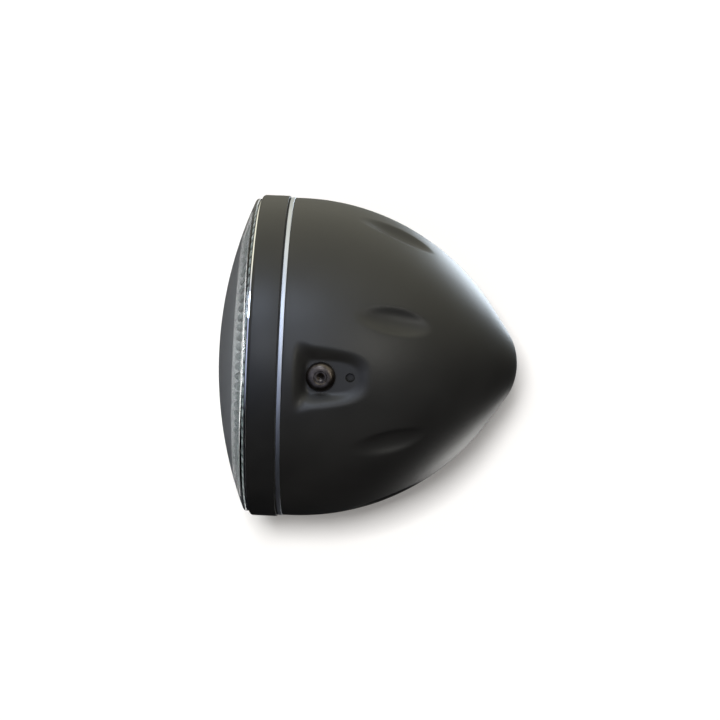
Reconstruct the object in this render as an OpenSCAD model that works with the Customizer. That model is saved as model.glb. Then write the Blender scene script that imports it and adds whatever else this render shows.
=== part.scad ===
// Round motorcycle headlight with a bullet-shaped bowl, held by two side bolts.
// The lamp's axis is Y, with the lens toward -Y and the tail toward +Y.
// The origin is on that axis, level with the side bolts, which lie on X.

/* [Bowl] */
// Outer radius of the bowl at its mouth
bowl_r = 80; // [78:0.5:83]
// Wall of the bowl
bowl_wall = 2.6; // [2.2:0.1:3]
// Distance from the mouth back to the side bolts
mouth_to_bolt = 18; // [17:0.5:20]
// Length of the straight band behind the mouth
band_len = 4; // [3:0.25:4.5]
// Radius of the long flank curve
flank_r = 118; // [115:1:122]
// Length of the straight cone between flank and tail
cone_len = 15.2; // [14:0.2:17]
// Radius of the rounded tail
nose_r = 30; // [27:1:33]

/* [Side pockets] */
// Depth of the flat pocket floor below the bowl's outer radius
pocket_sink = 6.5; // [6:0.1:7.5]
// Distance from the bolt to the front foot of the pocket
pocket_front = 7.6; // [7.2:0.1:8.4]
// Half of the height of the pocket floor
pocket_half = 8; // [7.8:0.1:9]
// Outward spread of the upper and lower walls for each unit of depth
pocket_spread = 1.35; // [1.1:0.05:1.5]
// Outward spread of the front wall for each unit of depth
pocket_front_spread = 0.8; // [0.6:0.05:1]
// Round on the front corners of the pocket's rim
pocket_corner = 7; // [5:0.5:8]
// Thickness of the boss behind the pocket floor
boss_len = 12; // [11:0.5:14]
// Radius of the boss behind the pocket floor
boss_r = 10.5; // [10:0.25:12]
// Distance from the bolt to the index hole
index_pitch = 13.8; // [13:0.1:15]
// Radius of the index hole
index_r = 2; // [1.5:0.1:2.4]
// Depth of the index hole
index_depth = 5; // [3:0.5:6]
// Wall left round and under the index hole
index_wall = 3; // [2:0.25:4]

/* [Side bolts and nuts] */
// Radius of the bolt's shank
bolt_r = 4; // [3.5:0.1:4.2]
// Length of the bolt under its head
bolt_len = 16; // [15:0.5:18]
// Radius of the button head
head_r = 7; // [6.6:0.1:7.4]
// Height of the button head
head_h = 4.4; // [4:0.1:4.8]
// Height of the straight edge of the button head
head_edge = 1; // [0.6:0.1:1.4]
// Width across the flats of the hexagon socket
socket_flats = 5; // [4:0.5:5.5]
// Depth of the hexagon socket
socket_depth = 2.6; // [2:0.1:3]
// Width of the flat rim round the hexagon socket
socket_rim = 1; // [0.6:0.1:1.4]
// Width across the flats of the nut
nut_flats = 13; // [12:0.5:13.5]
// Thickness of the nut
nut_t = 6.5; // [5.5:0.25:7]

/* [Scoops] */
// Places of the scoops round the lamp, in degrees from the bolt line
scoop_angles = [22.5, 70, 110, 157.5, 207, 253, 287, 333];
// Turn of the flank curve at the middle of a scoop
scoop_turn = 24.2; // [23.4:0.2:25]
// Length of a scoop
scoop_len = 36; // [34:0.5:38]
// Depth of a scoop at its middle
scoop_depth = 2.4; // [2.2:0.1:2.6]
// Radius of the scoop across its length
scoop_r = 10; // [9:0.5:12]

/* [Cable outlet] */
// Distance of the cable outlet behind the side bolts
outlet_back = 5; // [3:0.5:7]
// Radius of the cable outlet's bore
outlet_r = 4; // [3:0.25:4.5]
// Wall of the grommet's neck
grommet_wall = 2.6; // [2:0.1:3]
// Width of the grommet's flanges beyond its neck
grommet_lip = 3.2; // [2.5:0.1:3.5]
// Thickness of the grommet's flanges
grommet_t = 1.6; // [1.2:0.1:1.8]
// Thickness of the flat boss that the grommet grips
outlet_pad = 3; // [2.6:0.1:3.5]
// Width of the rim round the grommet's seat
outlet_rim = 1.2; // [0.8:0.1:2]
// Depth of the flat seat below the bowl's outer radius
outlet_sink = 1.6; // [1.3:0.1:1.8]

/* [Mouth ring] */
// Width of the bright band between bowl and trim ring
band_w = 2; // [1.6:0.1:2.6]
// Height of the bright band above the bowl
band_proud = 0.2; // [0:0.1:0.5]
// Chamfer on the edges of the bright band
band_chamfer = 0.25; // [0.1:0.05:0.4]
// Width of the mouth ring's flange behind the bowl's edge
mouth_flange_w = 14; // [13:0.5:15]
// Wall of the spigot that enters the trim ring
spigot_wall = 2; // [1.6:0.1:2.4]
// Length of the spigot
spigot_len = 8; // [7.5:0.25:8.5]
// Number of lugs and screws that hold the mouth ring
lug_count = 4; // [3:1:6]
// Distance of the lugs' centres from the bowl's outer face
lug_in = 8; // [7.5:0.25:8.5]
// Radius of a lug
lug_r = 6; // [5.6:0.1:6.4]
// Length of a lug
lug_len = 12; // [11:0.5:14]
// Radius of a lug screw's shank
lug_screw_r = 2; // [1.5:0.1:2.2]
// Length of a lug screw under its head
lug_screw_len = 9; // [8:0.5:10]
// Radius of a lug screw's head
lug_head_r = 3.5; // [3:0.1:3.8]
// Height of a lug screw's head
lug_head_h = 2.4; // [2:0.1:2.8]
// Width across the flats of a lug screw's socket
lug_socket = 3; // [2.5:0.5:3.5]
// Thickness of the rubber seal in front of the bright band
seal_t = 0.8; // [0.6:0.1:1.2]
// Depth of the seal's edge below the trim ring's face
seal_sink = 1; // [0.6:0.1:1.2]

/* [Trim ring] */
// Height of the trim ring above the bowl
trim_proud = 0.8; // [0.5:0.1:1.2]
// Width of the trim ring
trim_w = 13.4; // [13:0.2:16]
// Wall of the trim ring
trim_wall = 1.6; // [1.4:0.1:1.8]
// Thickness of the trim ring's front lip
lip_t = 1.8; // [1.4:0.1:2.2]
// Width of the lens's edge that the front lip covers
lip_cover = 4.1; // [3.7:0.1:4.3]
// Round on the front corner of the trim ring
trim_round = 1.8; // [1:0.1:2.2]
// Width of the hook at the top of the trim ring
hook_w = 14; // [10:1:18]
// Thickness of the hook
hook_t = 1.5; // [1.2:0.1:1.8]
// Reach of the hook below the spigot
hook_reach = 1.2; // [0.8:0.1:1.6]
// Distance from the trim ring's rear edge to its screw
rim_screw_back = 4.2; // [4:0.1:4.4]
// Radius of the rim screw's shank
rim_screw_r = 1.5; // [1.2:0.1:1.7]
// Length of the rim screw
rim_screw_len = 8; // [7:0.5:9]
// Radius of the rim screw's countersunk head
rim_head_r = 3; // [2.6:0.1:3.2]
// Width across the flats of the rim screw's socket
rim_socket = 2; // [1.5:0.1:2.2]
// Width of the square rim nut
rim_nut_w = 5.5; // [5:0.5:6]
// Thickness of the rim nut
rim_nut_t = 2.4; // [2:0.1:2.8]

/* [Lens] */
// Clearance between the lens and the trim ring
lens_fit = 0.5; // [0.3:0.1:0.7]
// Radius of the lens dome's sphere
lens_dome_r = 200; // [195:5:240]
// Length of the straight edge of the lens
lens_edge = 2.6; // [2:0.1:3]
// Thickness of the glass
lens_t = 2; // [1.8:0.1:2.2]
// Wall of the lens at its edge
lens_rim = 1.4; // [1.2:0.1:1.6]
// Round on the outer edge of the lens
lens_round = 1.2; // [0.8:0.1:1.6]
// Thickness of the seal between lens and reflector
lens_seal_t = 0.4; // [0.3:0.05:0.6]
// Number of flutes in the fluted ring
flutes = 90; // [72:6:96]
// Length of the flutes
flute_len = 11; // [9:0.5:12]
// Part of the ring's thickness that the flutes take
flute_part = 0.65; // [0.4:0.05:0.75]

/* [Reflector] */
// Depth of the reflector's dish
dish_depth = 46.7; // [45:0.1:49]
// Distance of the bulb's seat behind the deepest point of the dish
seat_back = 2; // [1:0.1:4]
// Thickness of the reflector along the lamp's axis
reflector_t = 2.2; // [1.8:0.1:2.4]
// Thickness of the reflector's front flange
flange_t = 0.8; // [0.7:0.1:1.2]
// Length of the band behind the flange
collar_len = 5.7; // [5.5:0.1:6.5]
// Wall of the band behind the flange
collar_wall = 3.2; // [3:0.1:3.4]
// Depth of the snap ring's groove
groove_depth = 1.3; // [1:0.1:1.5]
// Thickness of the snap ring
snap_t = 1.5; // [1.2:0.1:1.7]
// Height of the snap ring above its groove
snap_h = 3; // [2.6:0.1:3.6]
// Opening between the snap ring's ends in degrees
snap_gap = 14; // [10:1:18]
// Turn from an end of the snap ring to its hole in degrees
snap_hole_turn = 2; // [1.6:0.1:2.6]
// Radius of the hole for the bulb
bulb_hole_r = 19; // [18.8:0.1:19.4]
// Radius of the bulb seat
seat_r = 24; // [23:0.25:24.5]
// Inner radius of the collar that carries the dust boot
boot_in_r = 33; // [32.5:0.25:34]
// Wall of the dust boot's collar
boot_collar_wall = 2; // [1.6:0.1:2.4]

/* [Main bulb] */
// Distance from the bulb's seat to the low beam filament, which belongs in the dish's focus
filament_out = 29; // [28.5:0.1:29.5]
// Distance between the two filaments along the lamp's axis
beam_step = 7; // [6:0.5:8]
// Height of the low beam filament above the lamp's axis
low_z = 2.4; // [1.5:0.1:3]
// Height of the high beam filament above the lamp's axis
high_z = -1.6; // [-3:0.1:-1]
// Radius of a filament's coil
coil_r = 0.7; // [0.6:0.05:0.9]
// Radius of a filament's rod
rod_r = 0.45; // [0.3:0.05:0.55]
// Distance of the rods from the lamp's axis
rod_at = 2.6; // [2.2:0.1:3]
// Radius of the bulb's flange
bulb_flange_r = 21.5; // [21:0.1:22]
// Thickness of the bulb's flange
bulb_flange_t = 1.2; // [1:0.1:1.5]
// Radius of the bulb's glass
bulb_r = 8.2; // [7.8:0.1:8.8]
// Length of the glass in front of the seat
bulb_len = 52; // [48:1:56]
// Wall of the bulb's glass
bulb_wall = 0.9; // [0.7:0.1:1.2]
// Length of the bulb's collar in front of its flange
bulb_collar_len = 3.6; // [3:0.2:4]
// Radius of the bulb's rear body
bulb_body_r = 14.5; // [14:0.25:15]
// Length of the bulb's rear body
bulb_body_len = 10; // [9:0.5:11]
// Width of a contact blade
blade_w = 8; // [6:0.5:8]
// Thickness of a contact blade
blade_t = 0.8; // [0.6:0.1:1]
// Length of a contact blade
blade_len = 9; // [8:0.5:10]
// Distance of the contact blades from the lamp's axis
blade_at = 8; // [7.5:0.25:8.5]
// Radius of the bulb clip's wire
wire_r = 0.8; // [0.6:0.1:0.9]
// Radius of the bulb clip's ring
clip_r = 18.5; // [18:0.25:19]
// Distance of the clip's screw from the lamp's axis
clip_screw_at = 28; // [27.5:0.25:28.5]
// Radius of the clip screw's shank
clip_screw_r = 1.5; // [1.2:0.1:1.7]
// Radius of the clip screw's head
clip_head_r = 3.2; // [3:0.1:3.5]
// Height of the clip screw's head
clip_head_h = 1.8; // [1.4:0.1:2]
// Length of the clip screw in its post
clip_screw_len = 6; // [5:0.5:6.5]
// Wall of the rubber dust boot
boot_wall = 2; // [1.6:0.1:2.4]
// Length of the dust boot's skirt
boot_skirt = 8; // [6:0.5:9]
// Radius of the bead round the dust boot
boot_bead = 3; // [2:0.25:3.5]
// Length of the connector
plug_len = 20; // [18:1:24]
// Radius of the connector's body
plug_r = 14; // [13.5:0.25:14.5]

/* [Parking bulb] */
// Distance of the parking bulb below the lamp's axis
parking_at = 46; // [45:0.5:48]
// Radius of the parking bulb's glass
parking_r = 4.8; // [4.4:0.1:5]
// Length of the parking bulb
parking_len = 20; // [18:0.5:22]
// Radius of the holder's body
holder_r = 7.1; // [6.8:0.1:7.4]
// Wall of the collar that carries the holder
holder_wall = 2.2; // [1.8:0.1:2.4]
// Length of the holder's body
holder_len = 10; // [9:0.5:11]

/* [Hidden] */
// Clearance of parts that slide together
fit = 0.3;
// Clearance of a screw in its thread and of a pin in its hole
thread_fit = 0.1;
// Overshoot of cuts past the faces that they open
over = 1;
// Overshoot of the pockets and scoops past the bowl's face
scoop_over = 5;

// Places along the lamp's axis
mouth_y = -mouth_to_bolt;
band_front_y = mouth_y - band_w;
trim_rear_y = band_front_y - seal_t;
trim_front_y = trim_rear_y - trim_w;
lip_rear_y = trim_front_y + lip_t;
flange_front_y = trim_front_y - flange_t;
lens_rear_y = flange_front_y - lens_seal_t;
rim_screw_y = trim_rear_y - rim_screw_back;

// Tangent curves of the bowl's outline, with their centres as radius and Y
band_end_y = mouth_y + band_len;
flank_c = [bowl_r - flank_r, band_end_y];
turn_reach = [flank_r - nose_r, cone_len];
flank_turn = acos((flank_r - bowl_r) / norm(turn_reach)) - atan2(turn_reach.y, turn_reach.x);
flank_dir = [cos(flank_turn), sin(flank_turn)];
nose_c = [0, flank_c.y + (flank_r - nose_r) * flank_dir.y + cone_len * flank_dir.x];

// Side pockets and bosses
pocket_floor = bowl_r - pocket_sink;
pocket_top = bowl_r + scoop_over;
pocket_depth = pocket_top - pocket_floor;
pocket_back = 32;
// Half height and front of the pocket where its walls reach the bowl's face
pocket_rise = 1 / pocket_spread;
pocket_base = pocket_floor - pocket_half * pocket_rise;
pocket_rim_half = (sqrt(bowl_r * bowl_r * (1 + pocket_rise * pocket_rise) - pocket_base * pocket_base)
    - pocket_base * pocket_rise) / (1 + pocket_rise * pocket_rise);
pocket_rim_front = pocket_front + pocket_front_spread * (bowl_r - pocket_floor);
boss_end = pocket_floor - boss_len;
index_end = pocket_floor - index_depth - index_wall;

// Scoops: a barrel whose ends just leave the flank
scoop_bow = scoop_len * scoop_len / 8 / (scoop_depth - scoop_len * scoop_len / 8 / flank_r);

// Radii of the rings round the mouth
band_r = bowl_r + band_proud;
mouth_flange_r = bowl_r - mouth_flange_w;
lug_at = bowl_r - lug_in;
trim_r = bowl_r + trim_proud;
trim_in_r = trim_r - trim_wall;
lens_r = trim_in_r - lens_fit;
lip_r = lens_r - lip_cover;
spigot_r = trim_in_r - fit;
spigot_in_r = spigot_r - spigot_wall;
collar_r = lip_r - fit;
open_r = collar_r - collar_wall - thread_fit;
groove_r = collar_r - groove_depth;
groove_end_y = lip_rear_y + snap_t + thread_fit;
collar_end_y = trim_front_y + collar_len;

// Lens sphere and the seats behind it
dome_y = lens_rear_y - lens_edge + sqrt(lens_dome_r * lens_dome_r - lens_r * lens_r);
lens_in_r = lens_r - lens_rim;
flute_out_r = lens_in_r - fit;
flute_in_r = flute_out_r - flute_len;

// Reflector: focal length and vertex of the parabola, bulb seat and collars
dish_steps = 18;
dish_radii = [for (i = [0 : dish_steps]) open_r * i / dish_steps];
focal = open_r * open_r / 4 / dish_depth;
vertex_y = flange_front_y + dish_depth;
seat_y = vertex_y + seat_back;
clip_y = seat_y + bulb_flange_t + wire_r;
boot_y = clip_y + wire_r + clip_head_h + fit;
body_end_y = seat_y + bulb_flange_t + bulb_body_len;
holder_y = dish_y(parking_at - holder_r) + holder_len;

// Cable outlet
outlet_z = -(bowl_r - outlet_sink);
neck_r = outlet_r + grommet_wall;
grommet_r = neck_r + grommet_lip;

$fn = 96;

// Turns a profile drawn as radius and Y round the lamp's axis, starting at the top
module turned() {
    rotate([-90, 0, 0]) rotate([0, 0, -90]) rotate_extrude($fn = 180) children();
}

// A rectangle in radius and Y
module bar(r1, r2, y1, y2) {
    translate([r1, y1]) square([r2 - r1, y2 - y1]);
}

// Turns a shape on the +X side to an angle round the lamp's axis
module at_angle(angle) {
    rotate([0, -angle, 0]) children();
}

// Stands a shape that is drawn along Z along the lamp's axis
module along_y(y) {
    translate([0, y, 0]) rotate([-90, 0, 0]) children();
}

// Lays a shape that is drawn along Z along the bolt line
module along_x(x) {
    translate([x, 0, 0]) rotate([0, 90, 0]) children();
}

function circumradius(flats) = flats / 2 / cos(30);

// Height of the reflector's inner face at a radius
function dish_y(r) = vertex_y - r * r / 4 / focal;

// Height of a sphere that is concentric with the lens dome
function dome_at(r, inset) = dome_y - sqrt(pow(lens_dome_r - inset, 2) - r * r);

// Outline of the bowl, set in from its outer face
module bowl_outline(inset, front_y) {
    flank_end = flank_c + (flank_r - inset) * flank_dir;
    nose_start = nose_c + (nose_r - inset) * flank_dir;
    bar(0, bowl_r - inset, front_y, band_end_y);
    intersection() {
        translate(flank_c) circle(r = flank_r - inset, $fn = 360);
        bar(0, bowl_r, band_end_y, flank_end.y);
    }
    polygon([[0, flank_end.y], flank_end, nose_start, [0, nose_start.y]]);
    intersection() {
        translate(nose_c) circle(r = nose_r - inset, $fn = 180);
        bar(0, nose_r, nose_start.y, nose_c.y + nose_r);
    }
}

// Half of a trough's outline in height above the floor and half width
module trough_half(half, spread) {
    polygon([[0, 0], [0, half], [pocket_depth, half + pocket_depth * spread], [pocket_depth, 0]]);
}

// Recess with sloping walls and a flat floor on the +X side, or the same grown by a wall
module pocket_block(grow) {
    side_half = pocket_half + grow * (sqrt(1 + pocket_spread * pocket_spread) - pocket_spread);
    front_half = pocket_front
        + grow * (sqrt(1 + pocket_front_spread * pocket_front_spread) - pocket_front_spread);
    translate([pocket_floor - grow, 0, 0]) intersection() {
        translate([0, pocket_back, 0]) rotate([90, 0, 0]) linear_extrude(2 * pocket_back) {
            trough_half(side_half, pocket_spread);
            mirror([0, 1]) trough_half(side_half, pocket_spread);
        }
        translate([0, 0, -pocket_back]) linear_extrude(2 * pocket_back) {
            mirror([0, 1]) trough_half(front_half, pocket_front_spread);
            square([pocket_depth, pocket_back]);
        }
        rotate([0, 90, 0]) linear_extrude(pocket_depth) pocket_plan(grow);
    }
}

// Plan of the pocket at its rim, with rounded front corners
module pocket_plan(grow) {
    half = pocket_rim_half + over + grow;
    front = pocket_rim_front + over + grow;
    for (side = [-1, 1]) {
        translate([side * (half - pocket_corner), pocket_corner - front]) circle(r = pocket_corner);
    }
    translate([-half, pocket_corner - front]) square([2 * half, pocket_back + front - pocket_corner]);
    translate([pocket_corner - half, -front]) square([2 * (half - pocket_corner), pocket_corner]);
}

// Barrel that cuts one scoop out of the flank
module scoop_barrel(grow) {
    reach = flank_r - scoop_depth + scoop_r;
    centre = flank_c + reach * [cos(scoop_turn), sin(scoop_turn)];
    half = scoop_len / 2 + scoop_over;
    translate([centre.x, centre.y, 0]) rotate([-90, 0, scoop_turn]) rotate_extrude($fn = 96)
        intersection() {
            translate([scoop_r - scoop_bow, 0]) circle(r = scoop_bow + grow, $fn = 360);
            bar(0, scoop_r + grow, -half, half);
        }
}

// Material behind one side pocket: floor, boss for the nut and boss for the index hole
module side_backing() {
    pocket_block(bowl_wall);
    along_x(boss_end) cylinder(r = boss_r, h = boss_len);
    translate([0, index_pitch, 0]) along_x(index_end)
        cylinder(r = index_r + index_wall, h = pocket_floor - index_end);
    translate([index_end, 0, -index_r - index_wall])
        cube([pocket_floor - index_end, index_pitch, 2 * (index_r + index_wall)]);
}

// Cuts of one side pocket: bolt hole, nut recess and index hole
module side_cuts() {
    pocket_block(0);
    along_x(boss_end - over) cylinder(r = bolt_r + fit, h = boss_len + 2 * over);
    along_x(boss_end - over)
        cylinder(r = circumradius(nut_flats + fit), h = nut_t + over, $fn = 6);
    translate([0, index_pitch, 0]) along_x(pocket_floor - index_depth)
        cylinder(r = index_r, h = index_depth + over);
}

// Space inside the bowl
module bowl_cavity() {
    difference() {
        turned() bowl_outline(bowl_wall, mouth_y - over);
        for (side = [0, 180]) {
            at_angle(side) side_backing();
        }
        for (angle = scoop_angles) {
            at_angle(angle) scoop_barrel(bowl_wall);
        }
        for (i = [0 : lug_count - 1]) {
            at_angle((i + 0.5) * 360 / lug_count) translate([lug_at, 0, 0])
                along_y(mouth_y) cylinder(r = lug_r, h = lug_len);
        }
    }
}

module bowl() {
    color([0.16, 0.16, 0.15]) difference() {
        union() {
            difference() {
                turned() bowl_outline(0, mouth_y);
                bowl_cavity();
            }
            outlet_disc(outlet_rim + fit, 0, outlet_pad);
        }
        for (side = [0, 180]) {
            at_angle(side) side_cuts();
        }
        for (angle = scoop_angles) {
            at_angle(angle) scoop_barrel(0);
        }
        for (i = [0 : lug_count - 1]) {
            at_angle((i + 0.5) * 360 / lug_count) translate([lug_at, 0, 0])
                along_y(mouth_y - over) cylinder(r = lug_screw_r + thread_fit, h = lug_len);
        }
        outlet_disc(fit, -bowl_r, 0);
        outlet_disc(fit, outlet_pad, 2 * outlet_pad);
        outlet_disc(thread_fit - grommet_lip, -over, outlet_pad + over);
    }
}

// Disc round the cable outlet, wider than the grommet's flange by a margin
module outlet_disc(margin, from, to) {
    translate([0, outlet_back, outlet_z + from]) cylinder(r = grommet_r + margin, h = to - from);
}

module mouth_ring() {
    color([0.62, 0.65, 0.7]) difference() {
        union() {
            turned() polygon([
                [mouth_flange_r, band_front_y],
                [band_r - band_chamfer, band_front_y],
                [band_r, band_front_y + band_chamfer],
                [band_r, mouth_y - band_chamfer],
                [band_r - band_chamfer, mouth_y],
                [mouth_flange_r, mouth_y]
            ]);
            turned() bar(spigot_in_r, spigot_r, band_front_y - spigot_len, band_front_y);
        }
        for (i = [0 : lug_count - 1]) {
            at_angle((i + 0.5) * 360 / lug_count) translate([lug_at, 0, 0])
                along_y(band_front_y - over) cylinder(r = lug_screw_r + fit, h = band_w + 2 * over);
        }
        hook_block(fit);
        rim_cone(fit);
        translate([0, rim_screw_y, -trim_r]) cylinder(r = rim_screw_r + fit, h = rim_screw_len);
    }
}

// Hook under the spigot at the top of the trim ring, or its slot
module hook_block(clear) {
    width = hook_w + 2 * clear;
    translate([-width / 2, rim_screw_y - hook_t / 2 - clear, spigot_in_r - hook_reach - clear])
        cube([width, hook_t + 2 * clear, trim_in_r + trim_wall / 2 - spigot_in_r + hook_reach + clear]);
}

// Countersunk cone of the rim screw, or its seat
module rim_cone(clear) {
    translate([0, rim_screw_y, -trim_r - clear])
        cylinder(r1 = rim_head_r + 2 * clear, r2 = rim_screw_r + clear,
            h = rim_head_r - rim_screw_r + clear);
}

module mouth_ring_screws() {
    color([0.7, 0.7, 0.72]) for (i = [0 : lug_count - 1]) {
        at_angle((i + 0.5) * 360 / lug_count) translate([lug_at, 0, 0]) {
            along_y(band_front_y) cylinder(r = lug_screw_r, h = lug_screw_len);
            along_y(band_front_y - lug_head_h) difference() {
                cylinder(r = lug_head_r, h = lug_head_h);
                translate([0, 0, -over])
                    cylinder(r = circumradius(lug_socket), h = lug_head_h / 2 + over, $fn = 6);
            }
        }
    }
}

module mouth_seal() {
    color([0.08, 0.08, 0.08]) turned()
        bar(spigot_r + thread_fit, trim_r - seal_sink, trim_rear_y, band_front_y);
}

module trim_ring() {
    color([0.12, 0.12, 0.12]) difference() {
        union() {
            turned() {
                bar(lip_r, trim_r - trim_round, trim_front_y, lip_rear_y);
                translate([trim_r - trim_round, trim_front_y + trim_round])
                    intersection() {
                        circle(r = trim_round);
                        bar(0, trim_round, -trim_round, 0);
                    }
                bar(trim_in_r, trim_r, trim_front_y + trim_round, trim_rear_y);
            }
            hook_block(0);
        }
        rim_cone(0);
        translate([0, rim_screw_y, -trim_r - over])
            cylinder(r = rim_screw_r + fit, h = trim_wall + 2 * over);
    }
}

module rim_screw() {
    color([0.1, 0.1, 0.1]) difference() {
        translate([0, rim_screw_y, -trim_r + thread_fit]) {
            cylinder(r1 = rim_head_r - 2 * thread_fit, r2 = rim_screw_r,
                h = rim_head_r - rim_screw_r - 2 * thread_fit);
            cylinder(r = rim_screw_r, h = rim_screw_len);
        }
        translate([0, rim_screw_y, -trim_r - over])
            cylinder(r = circumradius(rim_socket), h = 2 * over, $fn = 6);
    }
}

module rim_nut() {
    nut_z = -spigot_in_r * cos(asin(rim_nut_w / 2 / spigot_in_r));
    color([0.7, 0.7, 0.72]) difference() {
        translate([-rim_nut_w / 2, rim_screw_y - rim_nut_w / 2, nut_z])
            cube([rim_nut_w, rim_nut_w, rim_nut_t]);
        translate([0, rim_screw_y, nut_z - over])
            cylinder(r = rim_screw_r + thread_fit, h = rim_nut_t + 2 * over);
    }
}

module lens() {
    round_at = lens_r - lens_round;
    round_y = dome_at(round_at, lens_round);
    touch_r = round_at * lens_dome_r / (lens_dome_r - lens_round);
    color([0.75, 0.8, 0.85, 0.35]) turned() difference() {
        union() {
            intersection() {
                translate([0, dome_y]) circle(r = lens_dome_r, $fn = 720);
                bar(0, touch_r, dome_y - lens_dome_r, lens_rear_y);
            }
            translate([round_at, round_y]) circle(r = lens_round);
            bar(0, lens_r, round_y, lens_rear_y);
        }
        intersection() {
            translate([0, dome_y]) circle(r = lens_dome_r - lens_t, $fn = 720);
            bar(0, lens_in_r, dome_y - lens_dome_r, lens_rear_y + over);
        }
    }
}

module lens_seal() {
    color([0.1, 0.1, 0.1]) turned()
        bar(lens_in_r, lens_r - fit, lens_rear_y, flange_front_y);
}

// Radii of the crest points of a flute, from the outer end inward
crest_radii = [for (s = [0, 0.1, 0.25, 0.5, 0.75, 1]) flute_out_r + (flute_in_r - flute_out_r) * s];
// Height of a flute across its width, as a part of its full height
flute_shape = [0, 0.8, 1, 0.8];
// Height of a flute at the ring's outer edge, as a part of its full height
flute_end = 0.45;

// Section of the fluted ring at one of its stations
function flute_section(k) =
    let (
        angle = k * 360 / flutes / len(flute_shape),
        crest = flute_shape[k % len(flute_shape)],
        top = [for (i = [0 : len(crest_radii) - 1])
            let (
                y = dome_at(crest_radii[i], lens_t + fit),
                full = flange_front_y - y,
                end = i == 0 ? flute_end : 1
            ) [crest_radii[i], flange_front_y - full * (1 - flute_part * (1 - crest * end))]],
        outline = concat([[flute_in_r, flange_front_y], [flute_out_r, flange_front_y]], top)
    ) [for (p = outline) [p.x * cos(angle), p.y, p.x * sin(angle)]];

module fluted_ring() {
    stations = flutes * len(flute_shape);
    size = len(crest_radii) + 2;
    points = [for (k = [0 : stations - 1]) each flute_section(k)];
    faces = [for (k = [0 : stations - 1], j = [0 : size - 1])
        let (
            a = k * size,
            b = (k + 1) % stations * size,
            n = (j + 1) % size
        ) each [[a + j, a + n, b + n], [a + j, b + n, b + j]]];
    color([0.7, 0.75, 0.72, 0.6]) polyhedron(points = points, faces = faces, convexity = 10);
}

// Space in front of the reflector's inner face
module dish_space() {
    turned() polygon(concat(
        [[0, flange_front_y - over], [open_r, flange_front_y - over]],
        [for (i = [dish_steps : -1 : 0]) [dish_radii[i], dish_y(dish_radii[i])]]
    ));
}

module reflector() {
    color([0.85, 0.86, 0.88]) difference() {
        union() {
            turned() polygon(concat(
                [for (r = dish_radii) [r, dish_y(r)]],
                [for (i = [dish_steps : -1 : 0]) [dish_radii[i], dish_y(dish_radii[i]) + reflector_t]]
            ));
            turned() bar(open_r, lens_r - fit, flange_front_y, trim_front_y);
            turned() difference() {
                bar(collar_r - collar_wall, collar_r, flange_front_y, collar_end_y);
                bar(groove_r, collar_r + over, lip_rear_y, groove_end_y);
            }
            turned() bar(bulb_hole_r, seat_r, dish_y(bulb_hole_r), seat_y);
            turned() bar(boot_in_r, boot_in_r + boot_collar_wall, dish_y(boot_in_r), boot_y);
            for (side = [-1, 1]) {
                translate([0, 0, side * clip_screw_at]) along_y(dish_y(clip_screw_at))
                    cylinder(r = clip_head_r, h = clip_y - wire_r - dish_y(clip_screw_at));
            }
            translate([0, 0, -clip_screw_at]) catch_post();
            translate([0, 0, -parking_at]) along_y(dish_y(parking_at))
                cylinder(r = holder_r + fit + holder_wall, h = holder_y - dish_y(parking_at));
        }
        dish_space();
        along_y(dish_y(bulb_hole_r) - over)
            cylinder(r = bulb_hole_r, h = seat_y - dish_y(bulb_hole_r) + 2 * over);
        translate([0, 0, clip_screw_at]) along_y(clip_y - wire_r - clip_screw_len)
            cylinder(r = clip_screw_r + thread_fit, h = clip_screw_len + over);
        translate([0, 0, -parking_at]) along_y(flange_front_y)
            cylinder(r = holder_r + fit, h = holder_y - flange_front_y + over);
    }
}

// Post with a notch that catches the free end of the bulb clip
module catch_post() {
    difference() {
        along_y(clip_y - wire_r) cylinder(r = clip_head_r, h = 4 * wire_r);
        translate([-wire_r - thread_fit, clip_y - wire_r, -clip_head_r - over])
            cube([2 * (wire_r + thread_fit), 2 * wire_r + thread_fit, 2 * (clip_head_r + over)]);
    }
}

module snap_ring() {
    in_r = groove_r + thread_fit;
    hole_r = snap_h / 4;
    hole_turn = snap_gap / 2 + snap_hole_turn;
    reach = in_r + snap_h + over;
    color([0.55, 0.56, 0.58]) difference() {
        turned() bar(in_r, in_r + snap_h, lip_rear_y, lip_rear_y + snap_t);
        along_y(lip_rear_y - over) linear_extrude(snap_t + 2 * over)
            polygon([[0, 0], [-reach * tan(snap_gap / 2), reach], [reach * tan(snap_gap / 2), reach]]);
        for (side = [-1, 1]) {
            at_angle(-90 + side * hole_turn) translate([in_r + snap_h / 2, 0, 0])
                along_y(lip_rear_y - over) cylinder(r = hole_r, h = snap_t + 2 * over, $fn = 32);
        }
    }
}

module bulb_glass() {
    tip_y = seat_y - bulb_len;
    color([0.9, 0.92, 0.95, 0.4]) turned() difference() {
        round_end(bulb_r, tip_y + bulb_r, seat_y - bulb_flange_t);
        round_end(bulb_r - bulb_wall, tip_y + bulb_r, seat_y + over);
    }
}

// Outline of a rod with a round front end, up to the lamp's axis
module round_end(r, centre_y, end_y) {
    intersection() {
        union() {
            translate([0, centre_y]) circle(r = r);
            bar(0, r, centre_y, end_y);
        }
        bar(0, r, centre_y - r, end_y);
    }
}

module bulb_base() {
    color([0.75, 0.72, 0.6]) turned() {
        bar(0, bulb_flange_r, seat_y, seat_y + bulb_flange_t);
        difference() {
            bar(0, bulb_hole_r - fit, seat_y - bulb_collar_len, seat_y);
            bar(0, bulb_r + thread_fit, seat_y - bulb_collar_len - over, seat_y - bulb_flange_t);
        }
        bar(0, bulb_body_r, seat_y + bulb_flange_t, body_end_y);
    }
}

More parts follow.
